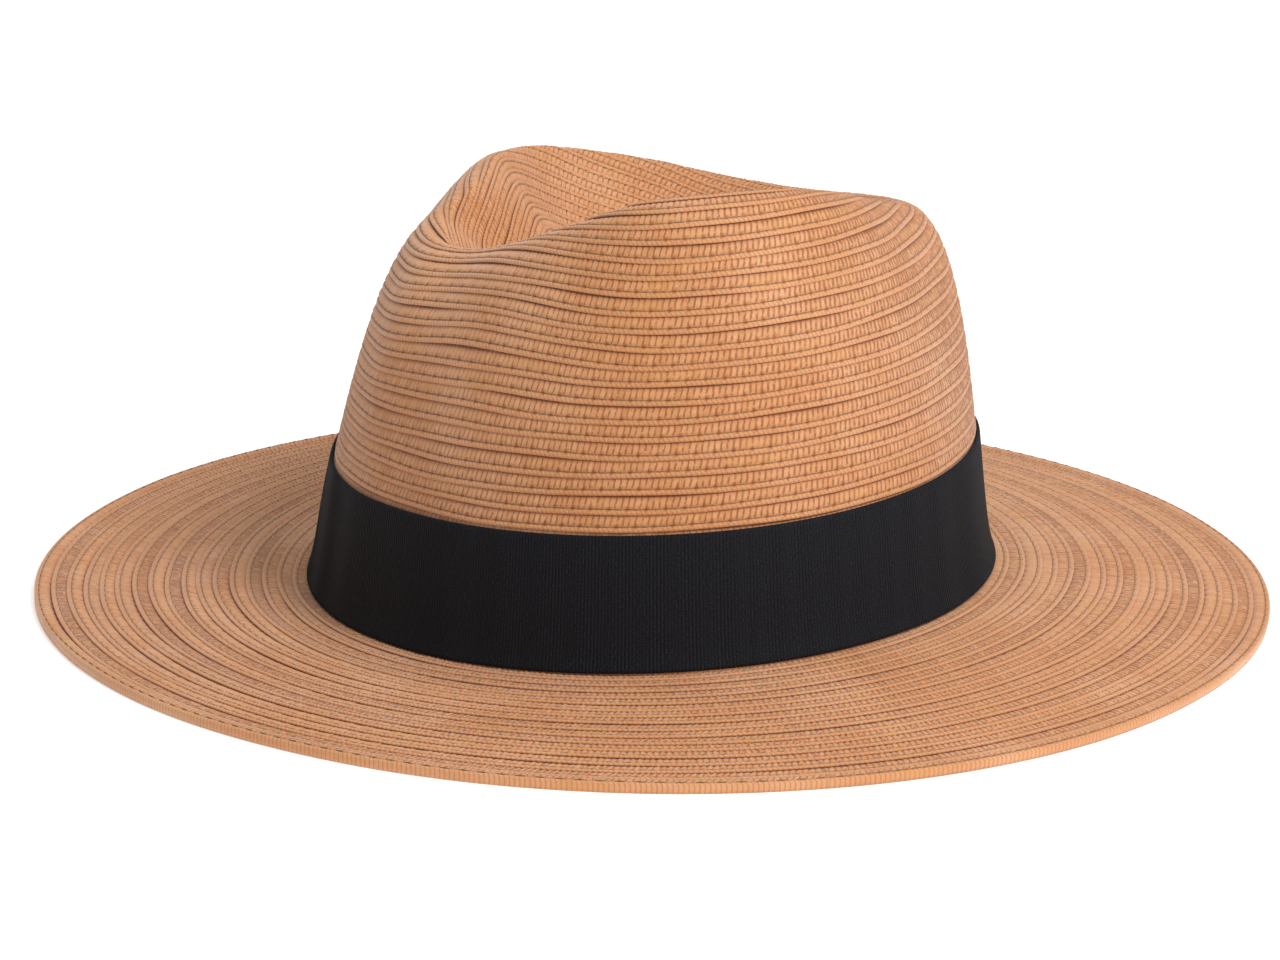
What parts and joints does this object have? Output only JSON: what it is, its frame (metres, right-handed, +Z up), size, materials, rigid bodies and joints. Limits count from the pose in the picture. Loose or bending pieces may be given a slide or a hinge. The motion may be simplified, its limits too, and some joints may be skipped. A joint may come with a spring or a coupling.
{
  "type": "straw hat",
  "caption": "Straw hat of sewn paper braid with a pinched, dented crown, a wide flat brim with a wired edge, a plain ribbon band and an inner sweatband.",
  "frame": {"origin": "centre of the brim's outline, on the surface the brim edge rests on", "axes": "+Z up through the crown; the hat's front faces -Y; +X is the wearer's left"},
  "size_m": [0.3192, 0.3508, 0.1175],
  "materials": {
    "straw_braid": "matte sewn paper braid",
    "spring_wire": "drawn wire",
    "clear_sleeve": "translucent white",
    "black_grosgrain": "ribbed ribbon",
    "black_thread": "sewing thread",
    "sweatband_cloth": "woven cotton blend",
    "straw_thread": "sewing thread",
    "label_cloth": "blank woven label"
  },
  "bodies": {
    "root": {"crown_braid": "straw_braid", "brim_braid": "straw_braid", "brim_edge_braid": "straw_braid", "brim_edge_wire": "spring_wire", "wire_joining_sleeve": "clear_sleeve", "ribbon_band": "black_grosgrain", "ribbon_lapped_end": "black_grosgrain", "ribbon_join_stitches": "black_thread", "sweatband": "sweatband_cloth", "sweatband_seam_tape": "sweatband_cloth", "sweatband_stitching": "straw_thread", "size_label": "label_cloth"}
  },
  "joints": []
}
